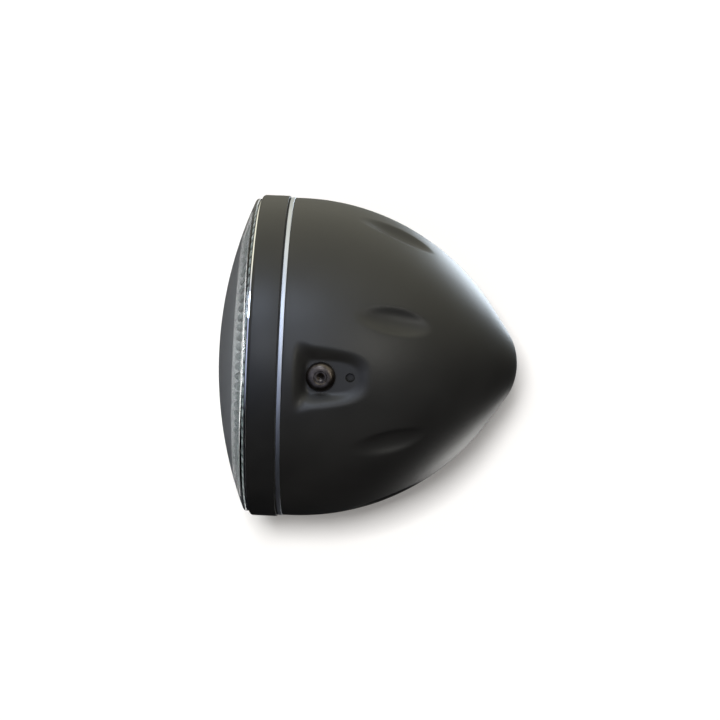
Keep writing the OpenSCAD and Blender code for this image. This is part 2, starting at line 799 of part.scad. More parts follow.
// The two filaments on their rods
module bulb_filaments() {
    low_y = seat_y - filament_out;
    color([0.6, 0.58, 0.5]) {
        filament(low_y, low_z);
        filament(low_y + beam_step, high_z);
    }
}

// One coil between its two rods
module filament(y, z) {
    root_y = seat_y - bulb_flange_t;
    for (x = [-rod_at, rod_at]) {
        translate([x, 0, z]) along_y(y - coil_r) cylinder(r = rod_r, h = root_y - y + coil_r, $fn = 24);
    }
    translate([-rod_at, y, z]) rotate([0, 90, 0]) cylinder(r = coil_r, h = 2 * rod_at, $fn = 24);
}

module bulb_contacts() {
    color([0.8, 0.8, 0.82]) for (angle = [0, 90, 180]) {
        at_angle(angle) translate([blade_at - blade_t / 2, body_end_y, -blade_w / 2])
            cube([blade_t, blade_len, blade_w]);
    }
}

module bulb_clip() {
    loop_r = clip_screw_r + thread_fit + wire_r;
    color([0.7, 0.7, 0.72]) {
        translate([0, clip_y, 0]) rotate([-90, 0, 0]) rotate_extrude($fn = 96)
            translate([clip_r, 0]) circle(r = wire_r, $fn = 32);
        translate([0, clip_y, clip_screw_at]) rotate([-90, 0, 0]) rotate_extrude($fn = 48)
            translate([loop_r, 0]) circle(r = wire_r, $fn = 32);
        translate([0, clip_y, clip_r]) cylinder(r = wire_r, h = clip_screw_at - loop_r - clip_r, $fn = 32);
        translate([0, clip_y, -clip_screw_at - clip_head_r])
            cylinder(r = wire_r, h = clip_screw_at + clip_head_r - clip_r, $fn = 32);
    }
}

module clip_screw() {
    head_y = clip_y + wire_r;
    color([0.7, 0.7, 0.72]) translate([0, 0, clip_screw_at]) difference() {
        union() {
            along_y(head_y - wire_r * 2 - clip_screw_len + thread_fit)
                cylinder(r = clip_screw_r, h = wire_r * 2 + clip_screw_len);
            along_y(head_y) cylinder(r = clip_head_r, h = clip_head_h);
        }
        translate([-clip_head_r - over, head_y + clip_head_h / 2, -clip_screw_r / 3])
            cube([2 * (clip_head_r + over), clip_head_h, clip_screw_r / 1.5]);
    }
}

module bulb_connector() {
    front_y = body_end_y + fit;
    color([0.2, 0.2, 0.2]) difference() {
        intersection() {
            along_y(front_y) cylinder(r = plug_r, h = plug_len);
            translate([-plug_r, front_y, -blade_at])
                cube([2 * plug_r, plug_len, plug_r + blade_at]);
        }
        for (angle = [0, 90, 180]) {
            at_angle(angle) translate([blade_at - blade_t / 2 - fit, front_y - over, -blade_w / 2 - fit])
                cube([blade_t + 2 * fit, blade_len + over, blade_w + 2 * fit]);
            at_angle(angle) translate([blade_at, 0, 0]) along_y(front_y + blade_len)
                cylinder(r = blade_w / 4, h = plug_len);
        }
    }
}

module dust_boot() {
    collar_out_r = boot_in_r + boot_collar_wall;
    skirt_r = collar_out_r + fit;
    color([0.1, 0.1, 0.1]) turned() {
        bar(skirt_r, skirt_r + boot_wall, boot_y - boot_skirt, boot_y + fit);
        bar(bulb_body_r + fit, skirt_r + boot_wall, boot_y + fit, boot_y + fit + boot_wall);
        bar(bulb_body_r + fit, bulb_body_r + fit + boot_wall, boot_y + fit, body_end_y - fit);
        translate([(skirt_r + bulb_body_r) / 2, boot_y + fit + boot_wall]) intersection() {
            circle(r = boot_bead);
            bar(-boot_bead - over, boot_bead + over, -boot_wall / 2, boot_bead + over);
        }
    }
}

module parking_bulb() {
    root_y = holder_y - holder_len / 2;
    color([0.9, 0.9, 0.92, 0.5]) translate([0, 0, -parking_at])
        turned() round_end(parking_r, root_y - parking_len + parking_r, root_y);
}

module parking_bulb_holder() {
    socket_y = holder_y - holder_len / 2;
    color([0.15, 0.15, 0.15]) translate([0, 0, -parking_at]) turned() {
        difference() {
            bar(0, holder_r, holder_y - holder_len, holder_y);
            bar(0, parking_r + fit, holder_y - holder_len - over, socket_y);
        }
        bar(0, holder_r + holder_wall, holder_y, holder_y + holder_wall);
        bar(0, holder_r - holder_wall / 2, holder_y + holder_wall, holder_y + holder_len);
    }
}

// Button head bolt on the +X side
module side_bolt() {
    dome_h = head_h - head_edge;
    flat_r = circumradius(socket_flats) + socket_rim;
    bend_r = (dome_h * dome_h + pow(head_r - flat_r, 2)) / 2 / dome_h;
    along_x(pocket_floor) difference() {
        union() {
            rotate_extrude() {
                bar(0, head_r, 0, head_edge);
                intersection() {
                    translate([flat_r, head_h - bend_r]) circle(r = bend_r);
                    bar(flat_r, head_r, head_edge, head_h);
                }
                bar(0, flat_r, head_edge, head_h);
            }
            translate([0, 0, -bolt_len]) cylinder(r = bolt_r, h = bolt_len);
        }
        translate([0, 0, head_h - socket_depth])
            cylinder(r = circumradius(socket_flats), h = socket_depth + over, $fn = 6);
    }
}

module side_bolt_right() {
    color([0.15, 0.14, 0.14]) side_bolt();
}

module side_bolt_left() {
    color([0.15, 0.14, 0.14]) at_angle(180) side_bolt();
}

// Nut in its recess on the +X side
module side_nut() {
    along_x(boss_end) difference() {
        cylinder(r = circumradius(nut_flats), h = nut_t, $fn = 6);
        translate([0, 0, -over]) cylinder(r = bolt_r + thread_fit, h = nut_t + 2 * over);
    }
}

module side_nut_right() {
    color([0.7, 0.7, 0.72]) side_nut();
}

module side_nut_left() {
    color([0.7, 0.7, 0.72]) at_angle(180) side_nut();
}

module cable_grommet() {
    color([0.08, 0.08, 0.08]) translate([0, outlet_back, outlet_z]) rotate_extrude() {
        bar(outlet_r, grommet_r, -grommet_t, 0);
        bar(outlet_r, neck_r, 0, outlet_pad);
        bar(outlet_r, grommet_r, outlet_pad, outlet_pad + grommet_t);
    }
}

bowl();
mouth_ring();
mouth_ring_screws();
mouth_seal();
trim_ring();
rim_screw();
rim_nut();
lens();
lens_seal();
fluted_ring();
reflector();
snap_ring();
bulb_glass();
bulb_base();
bulb_filaments();
bulb_contacts();
bulb_clip();
clip_screw();
bulb_connector();
dust_boot();
parking_bulb();
parking_bulb_holder();
side_bolt_right();
side_bolt_left();
side_nut_right();
side_nut_left();
cable_grommet();
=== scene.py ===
# Looks of the round motorcycle headlight. Lengths in the dictionaries are millimetres.
import math
import bmesh
import bpy
from mathutils import Matrix, Vector


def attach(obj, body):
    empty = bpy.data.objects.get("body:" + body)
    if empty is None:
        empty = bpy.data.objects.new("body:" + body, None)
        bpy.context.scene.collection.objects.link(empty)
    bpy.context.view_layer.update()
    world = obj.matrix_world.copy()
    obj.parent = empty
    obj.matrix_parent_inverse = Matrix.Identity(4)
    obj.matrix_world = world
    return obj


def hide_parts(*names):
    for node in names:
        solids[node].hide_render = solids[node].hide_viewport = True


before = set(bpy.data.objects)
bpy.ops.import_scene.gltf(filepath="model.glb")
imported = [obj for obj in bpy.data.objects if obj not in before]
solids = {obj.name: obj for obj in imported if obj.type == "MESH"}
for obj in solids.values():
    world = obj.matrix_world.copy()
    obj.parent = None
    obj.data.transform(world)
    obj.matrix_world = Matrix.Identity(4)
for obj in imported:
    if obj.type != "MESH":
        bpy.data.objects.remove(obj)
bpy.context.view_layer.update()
mm = 0.001
print("solids loaded:", len(solids))


# ---- small tools for outlines, turning and finishing ----
def newOutline(r, y):
    bm = bmesh.new()
    return bm, bm.verts.new((r * mm, y * mm, 0))


def lineTo(bm, tip, r, y, cuts=1):
    step = (Vector((r * mm, y * mm, 0)) - tip.co) / cuts
    for _ in range(cuts):
        start = tip.co.copy()
        tip = bmesh.ops.extrude_vert_indiv(bm, verts=[tip])["verts"][0]
        tip.co = start + step
    return tip


def arcTo(bm, tip, r, y, degrees, cuts):
    made = bmesh.ops.spin(bm, geom=[tip], cent=(r * mm, y * mm, 0), axis=(0, 0, 1),
                          angle=math.radians(degrees), steps=cuts, use_duplicate=False)
    return [g for g in made["geom_last"] if isinstance(g, bmesh.types.BMVert)][0]


def turnRound(bm, steps, axis=(0, 1, 0)):
    bmesh.ops.spin(bm, geom=bm.verts[:] + bm.edges[:], cent=(0, 0, 0), axis=axis,
                   angle=2 * math.pi, steps=steps, use_merge=True, use_duplicate=False)
    bmesh.ops.remove_doubles(bm, verts=bm.verts, dist=1e-6)


def closedOutline(points):
    bm, tip = newOutline(*points[0])
    first = tip
    for r, y in points[1:]:
        tip = lineTo(bm, tip, r, y)
    bm.edges.new((tip, first))
    return bm


def softenEdges(bm, width, segments=2, angle=30, chosen=None):
    bmesh.ops.recalc_face_normals(bm, faces=bm.faces)
    found = [e for e in bm.edges if len(e.link_faces) == 2
             and e.calc_face_angle(0) > math.radians(angle) and (chosen is None or chosen(e))]
    bmesh.ops.bevel(bm, geom=found, offset=width * mm, offset_type="OFFSET", segments=segments,
                    profile=0.5, affect="EDGES", clamp_overlap=True, material=-1)


def smoothShading(mesh, sharp):
    mesh.shade_smooth()
    mesh.set_sharp_from_angle(angle=math.radians(sharp))


def finishPiece(bm, name, material, stands=(), sharp=32):
    bmesh.ops.remove_doubles(bm, verts=bm.verts, dist=1e-7)
    bmesh.ops.recalc_face_normals(bm, faces=bm.faces)
    mesh = bpy.data.meshes.new(name)
    bm.to_mesh(mesh)
    bm.free()
    mesh.materials.append(material)
    smoothShading(mesh, sharp)
    piece = bpy.data.objects.new(name, mesh)
    bpy.context.scene.collection.objects.link(piece)
    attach(piece, "root")
    if stands:
        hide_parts(*stands)
    print(name, "has", len(mesh.polygons), "faces")
    return piece


def addRod(bm, start, end, r1, r2=None, sides=64):
    start, end = Vector(start) * mm, Vector(end) * mm
    way = end - start
    place = Matrix.Translation((start + end) / 2) @ way.to_track_quat("Z", "Y").to_matrix().to_4x4()
    return bmesh.ops.create_cone(bm, segments=sides, radius1=r1 * mm, radius2=(r1 if r2 is None else r2) * mm,
                                 depth=way.length, cap_ends=True, matrix=place)["verts"]


def combine(piece, bm, operation, sharp=32):
    bmesh.ops.recalc_face_normals(bm, faces=bm.faces)
    toolMesh = bpy.data.meshes.new("tool")
    bm.to_mesh(toolMesh)
    bm.free()
    tool = bpy.data.objects.new("tool", toolMesh)
    bpy.context.scene.collection.objects.link(tool)
    modifier = piece.modifiers.new("shape", "BOOLEAN")
    modifier.operation = operation
    modifier.solver = "MANIFOLD"
    modifier.object = tool
    bpy.context.view_layer.update()
    made = bpy.data.meshes.new_from_object(piece.evaluated_get(bpy.context.evaluated_depsgraph_get()))
    piece.modifiers.clear()
    piece.data = made
    bpy.data.objects.remove(tool)
    smoothShading(made, sharp)


def softMin(a, b, k):
    h = max(0.0, min(1.0, 0.5 + 0.5 * (b - a) / k))
    return b + (a - b) * h - k * h * (1 - h)


def softMax(a, b, k):
    return -softMin(-a, -b, k)


# ---- materials ----
def newFinish(name):
    finish = bpy.data.materials.new(name)
    finish.use_nodes = True
    tree = finish.node_tree
    tree.nodes.clear()
    shader = tree.nodes.new("ShaderNodeBsdfPrincipled")
    output = tree.nodes.new("ShaderNodeOutputMaterial")
    tree.links.new(shader.outputs[0], output.inputs["Surface"])
    return finish, tree, shader


def addNode(tree, kind, settings=None, **sockets):
    node = tree.nodes.new(kind)
    for key, value in (settings or {}).items():
        setattr(node, key, value)
    for key, value in sockets.items():
        socket = node.inputs[key.replace("_", " ")]
        if isinstance(value, bpy.types.NodeSocket):
            tree.links.new(value, socket)
        else:
            socket.default_value = value
    return node


def patternPlace(tree, stretch=(1, 1, 1)):
    place = addNode(tree, "ShaderNodeTexCoord").outputs["Object"]
    return addNode(tree, "ShaderNodeMapping", Vector=place, Scale=stretch).outputs[0]


def noiseOf(tree, place, scale, detail=3.0, rough=0.5):
    return addNode(tree, "ShaderNodeTexNoise", Vector=place, Scale=scale, Detail=detail,
                   Roughness=rough).outputs["Fac"]


def rangeOf(tree, value, low, high, fromLow=0.3, fromHigh=0.7):
    return addNode(tree, "ShaderNodeMapRange", Value=value, From_Min=fromLow, From_Max=fromHigh,
                   To_Min=low, To_Max=high).outputs[0]


def blendOf(tree, factor, one, two):
    mix = addNode(tree, "ShaderNodeMix", {"data_type": "RGBA"})
    tree.links.new(factor, mix.inputs[0])
    for socket, value in ((mix.inputs[6], one), (mix.inputs[7], two)):
        if isinstance(value, bpy.types.NodeSocket):
            tree.links.new(value, socket)
        else:
            socket.default_value = (*value, 1)
    return mix.outputs[2]


def bumpOf(tree, height, distance, strength=1.0, under=None):
    bump = addNode(tree, "ShaderNodeBump", Height=height, Distance=distance * mm, Strength=strength)
    if under is not None:
        tree.links.new(under, bump.inputs["Normal"])
    return bump.outputs[0]


def setShader(tree, shader, **sockets):
    for key, value in sockets.items():
        socket = shader.inputs[key.replace("_", " ")]
        if isinstance(value, bpy.types.NodeSocket):
            tree.links.new(value, socket)
        else:
            socket.default_value = value


def coatFinish(name, look):
    finish, tree, shader = newFinish(name)
    place = patternPlace(tree)
    cloud = noiseOf(tree, place, look["cloud"], 2.0)
    grain = noiseOf(tree, place, look["grain"], 2.0, 0.6)
    peel = noiseOf(tree, place, look["peel"], 1.0)
    colour = blendOf(tree, rangeOf(tree, cloud, 0, 1), look["dark"], look["light"])
    rough = rangeOf(tree, grain, look["rough"][0], look["rough"][1])
    soft = bumpOf(tree, peel, look["peelHeight"])
    setShader(tree, shader, Base_Color=colour, Roughness=rough, Metallic=0.0,
              Specular_IOR_Level=look["specular"], Coat_Weight=look["coat"], Coat_Roughness=look["coatRough"],
              Normal=bumpOf(tree, grain, look["grainHeight"], 1.0, soft))
    return finish


bowlCoat = {"dark": (0.0085, 0.0083, 0.0078), "light": (0.013, 0.0128, 0.012), "cloud": 28, "grain": 5200,
            "peel": 900, "rough": (0.40, 0.50), "specular": 0.5, "coat": 0.0, "coatRough": 0.3,
            "peelHeight": 0.006, "grainHeight": 0.012}
trimCoat = {"dark": (0.0065, 0.0065, 0.0065), "light": (0.010, 0.010, 0.0098), "cloud": 40, "grain": 6500,
            "peel": 1300, "rough": (0.38, 0.48), "specular": 0.5, "coat": 0.0, "coatRough": 0.3,
            "peelHeight": 0.004, "grainHeight": 0.008}
powderBlack = coatFinish("powderBlack", bowlCoat)
trimBlack = coatFinish("trimBlack", trimCoat)


def turnedMetal(name, look):
    finish, tree, shader = newFinish(name)
    rings = noiseOf(tree, patternPlace(tree, look["stretch"]), look["lines"], 2.0)
    cloud = noiseOf(tree, patternPlace(tree), look["cloud"], 3.0)
    colour = blendOf(tree, rangeOf(tree, cloud, 0, 1), look["dark"], look["light"])
    setShader(tree, shader, Base_Color=colour, Metallic=1.0,
              Roughness=rangeOf(tree, rings, look["rough"][0], look["rough"][1]),
              Normal=bumpOf(tree, rings, look["height"]))
    return finish


bandAluminium = turnedMetal("bandAluminium", {
    "stretch": (0.02, 1, 0.02), "lines": 9000, "cloud": 60, "dark": (0.50, 0.53, 0.58),
    "light": (0.60, 0.63, 0.69), "rough": (0.46, 0.56), "height": 0.004})
brightMirror = turnedMetal("brightMirror", {
    "stretch": (0.05, 1, 0.05), "lines": 900, "cloud": 25, "dark": (0.84, 0.85, 0.86),
    "light": (0.90, 0.91, 0.92), "rough": (0.03, 0.07), "height": 0.001})
zincPlate = turnedMetal("zincPlate", {
    "stretch": (1, 1, 1), "lines": 1400, "cloud": 130, "dark": (0.50, 0.51, 0.53),
    "light": (0.68, 0.69, 0.72), "rough": (0.22, 0.44), "height": 0.006})
springWire = turnedMetal("springWire", {
    "stretch": (0.2, 1, 0.2), "lines": 2600, "cloud": 90, "dark": (0.36, 0.37, 0.39),
    "light": (0.52, 0.53, 0.55), "rough": (0.24, 0.38), "height": 0.004})
platedSteel = turnedMetal("platedSteel", {
    "stretch": (0.1, 1, 0.1), "lines": 2200, "cloud": 110, "dark": (0.52, 0.50, 0.46),
    "light": (0.66, 0.64, 0.60), "rough": (0.24, 0.40), "height": 0.004})
tungsten = turnedMetal("tungsten", {
    "stretch": (1, 1, 1), "lines": 5200, "cloud": 600, "dark": (0.22, 0.21, 0.20),
    "light": (0.36, 0.35, 0.33), "rough": (0.34, 0.52), "height": 0.002})
bladeBrass = turnedMetal("bladeBrass", {
    "stretch": (1, 0.1, 1), "lines": 2400, "cloud": 160, "dark": (0.58, 0.52, 0.36),
    "light": (0.74, 0.68, 0.50), "rough": (0.24, 0.42), "height": 0.004})
blackOxide = turnedMetal("blackOxide", {
    "stretch": (1, 1, 1), "lines": 3600, "cloud": 420, "dark": (0.060, 0.050, 0.043),
    "light": (0.135, 0.115, 0.100), "rough": (0.26, 0.42), "height": 0.010})


def mouldedFinish(name, look):
    finish, tree, shader = newFinish(name)
    place = patternPlace(tree)
    grain = noiseOf(tree, place, look["grain"], 4.0, 0.6)
    dust = noiseOf(tree, place, look["cloud"], 4.0, 0.65)
    colour = blendOf(tree, rangeOf(tree, dust, 0, 1, 0.4, 0.75), look["dark"], look["light"])
    setShader(tree, shader, Base_Color=colour, Roughness=rangeOf(tree, grain, *look["rough"]),
              Specular_IOR_Level=look["specular"], Normal=bumpOf(tree, grain, look["height"]))
    return finish


sealRubber = mouldedFinish("sealRubber", {
    "grain": 2600, "cloud": 90, "dark": (0.012, 0.012, 0.012), "light": (0.026, 0.026, 0.025),
    "rough": (0.55, 0.75), "specular": 0.3, "height": 0.02})
plugPlastic = mouldedFinish("plugPlastic", {
    "grain": 1500, "cloud": 70, "dark": (0.028, 0.028, 0.029), "light": (0.045, 0.045, 0.046),
    "rough": (0.42, 0.58), "specular": 0.4, "height": 0.03})


# Colour of the flute cells: the glass's own grey-green fill, with painted shade (the near-black dark colour) in
# the grooves between flutes and painted glints (the light colour) in noise patches on the flute crests.
def cellTintWithPaintedLight(tree, cells, smear):
    flat = addNode(tree, "ShaderNodeSeparateXYZ")
    tree.links.new(patternPlace(tree), flat.inputs[0])
    angle = addNode(tree, "ShaderNodeMath", {"operation": "ARCTAN2"})
    tree.links.new(flat.outputs["Z"], angle.inputs[0])
    tree.links.new(flat.outputs["X"], angle.inputs[1])
    turns = rangeOf(tree, angle.outputs[0], 0.0, cells["count"], -math.pi, math.pi)
    wave = addNode(tree, "ShaderNodeMath", {"operation": "PINGPONG"})
    tree.links.new(turns, wave.inputs[0])
    wave.inputs[1].default_value = 0.5
    wall = rangeOf(tree, wave.outputs[0], 0.0, 1.0, *cells["groove"])
    groove = blendOf(tree, wall, cells["dark"], cells["fill"])
    paintedGlint = rangeOf(tree, smear, 0.0, cells["paintedGlints"], *cells["patch"])
    crest = rangeOf(tree, wave.outputs[0], 0.0, 1.0, *cells["crest"])
    return blendOf(tree, timesOf(tree, paintedGlint, crest), groove, cells["light"])


def clearFinish(name, look):
    finish, tree, shader = newFinish(name)
    place = patternPlace(tree)
    ripple = noiseOf(tree, place, look["ripple"], 1.0)
    smear = noiseOf(tree, place, look["smear"], 4.0, 0.6)
    colour = (*look["tint"], 1)
    # The flute cells' colour carries painted groove shade and painted glints.
    if "cells" in look:
        colour = cellTintWithPaintedLight(tree, look["cells"], smear)
    setShader(tree, shader, Base_Color=colour, Metallic=0.0, IOR=look["ior"],
              Transmission_Weight=look.get("clear", 1.0), Roughness=rangeOf(tree, smear, *look["rough"]),
              Coat_Weight=look.get("coat", 0.0), Coat_IOR=1.5, Normal=bumpOf(tree, ripple, look["height"]))
    surface = shader.outputs[0]
    # Where the look has one, a painted dark film (painted shade and reflection) is mixed over the glass.
    if "paintedDarkFilm" in look:
        surface = paintDarkFilmOver(tree, surface, look["paintedDarkFilm"], smear)
    through = addNode(tree, "ShaderNodeBsdfTransparent", Color=(*look["through"], 1))
    shade = addNode(tree, "ShaderNodeLightPath").outputs["Is Shadow Ray"]
    mix = addNode(tree, "ShaderNodeMixShader")
    tree.links.new(shade, mix.inputs[0])
    tree.links.new(surface, mix.inputs[1])
    tree.links.new(through.outputs[0], mix.inputs[2])
    output = [n for n in tree.nodes if n.type == "OUTPUT_MATERIAL"][0]
    tree.links.new(mix.outputs[0], output.inputs["Surface"])
    return finish


def timesOf(tree, one, two):
    product = addNode(tree, "ShaderNodeMath", {"operation": "MULTIPLY"})
    tree.links.new(one, product.inputs[0])
    tree.links.new(two, product.inputs[1])
    return product.outputs[0]


# Painted dark film over clear glass: an opaque grey-blue coat, mixed in where the dome is seen at a slant (Layer
# Weight facing), on its outer front face, in full inside the first radius and at the outside share beyond; it is
# painted shade and reflection standing in for the dark interior and reflections that the clear glass shows.
def paintDarkFilmOver(tree, surface, paintedDarkFilm, smear):
    facing = addNode(tree, "ShaderNodeLayerWeight", Blend=0.5).outputs["Facing"]
    flat = addNode(tree, "ShaderNodeVectorMath", {"operation": "MULTIPLY"})
    tree.links.new(patternPlace(tree), flat.inputs[0])
    flat.inputs[1].default_value = (1, 0, 1)
    radius = addNode(tree, "ShaderNodeVectorMath", {"operation": "LENGTH"})
    tree.links.new(flat.outputs[0], radius.inputs[0])
    low, high = paintedDarkFilm["radius"]
    inside = rangeOf(tree, radius.outputs["Value"], 1.0, paintedDarkFilm["outside"], low * mm, high * mm)
    steep = rangeOf(tree, facing, 0.0, paintedDarkFilm["amount"], *paintedDarkFilm["facing"])
    front = rangeOf(tree, addNode(tree, "ShaderNodeNewGeometry").outputs["Backfacing"], 1.0, 0.0, 0.0, 1.0)
    turned = addNode(tree, "ShaderNodeSeparateXYZ")
    tree.links.new(addNode(tree, "ShaderNodeTexCoord").outputs["Normal"], turned.inputs[0])
    outer = rangeOf(tree, turned.outputs["Y"], 1.0, 0.0, -0.2, 0.0)
    share = timesOf(tree, timesOf(tree, timesOf(tree, inside, steep), front), outer)
    paintedFilm = addNode(tree, "ShaderNodeBsdfPrincipled", Base_Color=blendOf(tree, smear, *paintedDarkFilm["colours"]),
                   Roughness=paintedDarkFilm["rough"], Specular_IOR_Level=paintedDarkFilm["specular"])
    mix = addNode(tree, "ShaderNodeMixShader")
    tree.links.new(share, mix.inputs[0])
    tree.links.new(surface, mix.inputs[1])
    tree.links.new(paintedFilm.outputs[0], mix.inputs[2])
    return mix.outputs[0]


lensClear = clearFinish("lensClear", {
    "tint": (0.93, 0.96, 0.97), "ior": 1.06, "coat": 0.6, "rough": (0.0, 0.02), "ripple": 60, "smear": 40,
    "height": 0.004, "through": (0.88, 0.90, 0.91),
    # The dome's film is painted shade and reflection laid over the clear glass.
    "paintedDarkFilm": {"radius": (64.6, 66.8), "outside": 0.5, "facing": (0.50, 0.72), "amount": 0.95, "rough": 0.5,
             "specular": 0.25, "colours": ((0.098, 0.106, 0.120), (0.128, 0.138, 0.156))}})
fluteClear = clearFinish("fluteClear", {
    "tint": (0.15, 0.175, 0.165), "ior": 1.2, "rough": (0.24, 0.36), "ripple": 300, "smear": 160,
    "clear": 0.25,
    # In the cells below, dark is painted shade in the grooves and light is the painted glint colour on the crests;
    # fill is the glass's own tint.
    "cells": {"count": 90, "groove": (0.08, 0.22), "crest": (0.20, 0.34), "dark": (0.003, 0.003, 0.003),
              "fill": (0.17, 0.205, 0.195),
              "light": (0.50, 0.52, 0.51), "paintedGlints": 0.85, "patch": (0.52, 0.60)},
    "height": 0.01, "through": (0.80, 0.84, 0.82)})
quartzClear = clearFinish("quartzClear", {
    "tint": (0.97, 0.98, 1.0), "ior": 1.46, "rough": (0.0, 0.02), "ripple": 200, "smear": 90,
    "height": 0.002, "through": (0.94, 0.95, 0.96)})
print("materials made")

# ---- camera: the seam circle's centre and the lamp's axis as the photograph shows them ----
cameraLook = {"lens": 94.85, "seam": (-36.456, 1.976, -960.0), "seamY": -19.0,
              "axis": (0.99905, -0.04292, 0.00785), "tilt": 7.0}
lampAxis = Vector(cameraLook["axis"]).normalized()
toEye = Vector((0, 0, 1))
facing = (toEye - toEye.dot(lampAxis) * lampAxis).normalized()
upward = facing.cross(lampAxis)
tilt = math.radians(cameraLook["tilt"])
boltAxis = math.cos(tilt) * facing - math.sin(tilt) * upward
topAxis = math.cos(tilt) * upward + math.sin(tilt) * facing
lampTurn = Matrix((boltAxis, lampAxis, topAxis)).transposed()
lampPlace = Vector(cameraLook["seam"]) * mm - cameraLook["seamY"] * mm * lampAxis
viewTurn = lampTurn.transposed()
cameraData = bpy.data.cameras.new("photoCamera")
cameraData.lens = cameraLook["lens"]
cameraData.sensor_width = 36
cameraData.clip_start = 0.02
camera = bpy.data.objects.new("photoCamera", cameraData)
bpy.context.scene.collection.objects.link(camera)
camera.matrix_world = Matrix.Translation(-(viewTurn @ lampPlace)) @ viewTurn.to_4x4()
bpy.context.scene.camera = camera


def fromView(x, y, z):
    return viewTurn @ Vector((x, y, z))


# ---- floor behind the lamp, lights and world ----
def paleFloor(look):
    finish = bpy.data.materials.new("paleFloor")
    finish.use_nodes = True
    tree = finish.node_tree
    tree.nodes.clear()
    base = addNode(tree, "ShaderNodeBsdfDiffuse", Color=(*look["colour"], 1), Roughness=0.9)
    grain = noiseOf(tree, patternPlace(tree), 600, 3.0)
    tree.links.new(bumpOf(tree, grain, 0.02), base.inputs["Normal"])
    lift = addNode(tree, "ShaderNodeEmission", Color=(1, 1, 1, 1), Strength=look["lift"])
    both = addNode(tree, "ShaderNodeAddShader")
    tree.links.new(base.outputs[0], both.inputs[0])
    tree.links.new(lift.outputs[0], both.inputs[1])
    clear = addNode(tree, "ShaderNodeBsdfTransparent")
    behind = addNode(tree, "ShaderNodeNewGeometry").outputs["Backfacing"]
    mix = addNode(tree, "ShaderNodeMixShader")
    tree.links.new(behind, mix.inputs[0])
    tree.links.new(both.outputs[0], mix.inputs[1])
    tree.links.new(clear.outputs[0], mix.inputs[2])
    output = addNode(tree, "ShaderNodeOutputMaterial")
    tree.links.new(mix.outputs[0], output.inputs["Surface"])
    return finish


floorLook = {"colour": (0.87, 0.865, 0.86), "lift": 0.03, "behind": -81.6, "half": 2600}
floorMesh = bpy.data.meshes.new("floor")
floorShape = bmesh.new()
bmesh.ops.create_grid(floorShape, x_segments=8, y_segments=8, size=floorLook["half"] * mm,
                      matrix=(viewTurn.to_4x4() @ Matrix.Translation((0, 0, floorLook["behind"] * mm))))
floorShape.to_mesh(floorMesh)
floorShape.free()
floorMesh.materials.append(paleFloor(floorLook))
floor = bpy.data.objects.new("floor", floorMesh)
bpy.context.scene.collection.objects.link(floor)
floor.visible_diffuse = False
floor.visible_glossy = False
floor.visible_shadow = False


def softLamp(name, look):
    data = bpy.data.lights.new(name, "AREA")
    data.shape = "RECTANGLE"
    data.size, data.size_y = look["size"]
    data.energy = look["power"]
    data.color = look["colour"]
    lamp = bpy.data.objects.new(name, data)
    bpy.context.scene.collection.objects.link(lamp)
    place = fromView(*look["place"])
    depth = place.normalized()
    across = fromView(look["place"][0], look["place"][1], 0)
    across = (across - across.dot(depth) * depth).normalized()
    turn = Matrix((across, depth.cross(across), depth)).transposed().to_4x4()
    lamp.matrix_world = Matrix.Translation(place) @ turn
    lamp.visible_camera = False
    return lamp


keyLamp = softLamp("keyLamp", {"size": (0.27, 0.27), "power": 25, "colour": (1.0, 0.995, 0.99),
                               "place": (-0.085, 0.20, 1.6)})
keyLamp.visible_glossy = False
softLamp("windowLamp", {"size": (0.75, 0.36), "power": 7, "colour": (0.80, 0.90, 1.0),
                        "place": (0.60, 0.46, -1.0)})
edgeLamp = softLamp("edgeLamp", {"size": (0.5, 0.3), "power": 1.8, "colour": (1.0, 0.99, 0.96),
                                 "place": (0.55, -0.5, -0.9)})
edgeLamp.visible_diffuse = False
glintLamp = softLamp("glintLamp", {"size": (0.20, 0.12), "power": 2.0, "colour": (0.88, 0.94, 1.0),
                                   "place": (-0.02, 0.16, 1.6)})
sheenLamp = softLamp("sheenLamp", {"size": (0.45, 0.5), "power": 4.6, "colour": (0.76, 0.86, 1.0),
                                   "place": (-0.14, 0.80, 1.15)})
warmLamp = softLamp("warmLamp", {"size": (0.28, 0.28), "power": 2.3, "colour": (1.0, 0.98, 0.90),
                                 "place": (0.80, 0.10, 1.15)})
warmLamp.visible_diffuse = False
glintLamp.visible_diffuse = False
sheenLamp.visible_diffuse = False

worldLook = {"warm": (1.20, 1.17, 0.95), "dark": (0.006, 0.006, 0.008), "cool": (0.50, 0.56, 0.78),
             "up": (0.05, -0.08, 0.995), "even": (1.0, 0.968, 0.935),
             "ahead": (-0.35, 0.25, 0.90), "diffuse": 0.42}
world = bpy.data.worlds.new("studio")
bpy.context.scene.world = world
world.use_nodes = True
air = world.node_tree
air.nodes.clear()
direction = addNode(air, "ShaderNodeTexCoord").outputs["Generated"]


def toward(way, low, high):
    along = addNode(air, "ShaderNodeVectorMath", {"operation": "DOT_PRODUCT"})
    air.links.new(direction, along.inputs[0])
    along.inputs[1].default_value = way
    level = addNode(air, "ShaderNodeMapRange", {"interpolation_type": "SMOOTHSTEP"}, From_Min=low,
                    From_Max=high)
    air.links.new(along.outputs["Value"], level.inputs["Value"])
    return level.outputs[0]


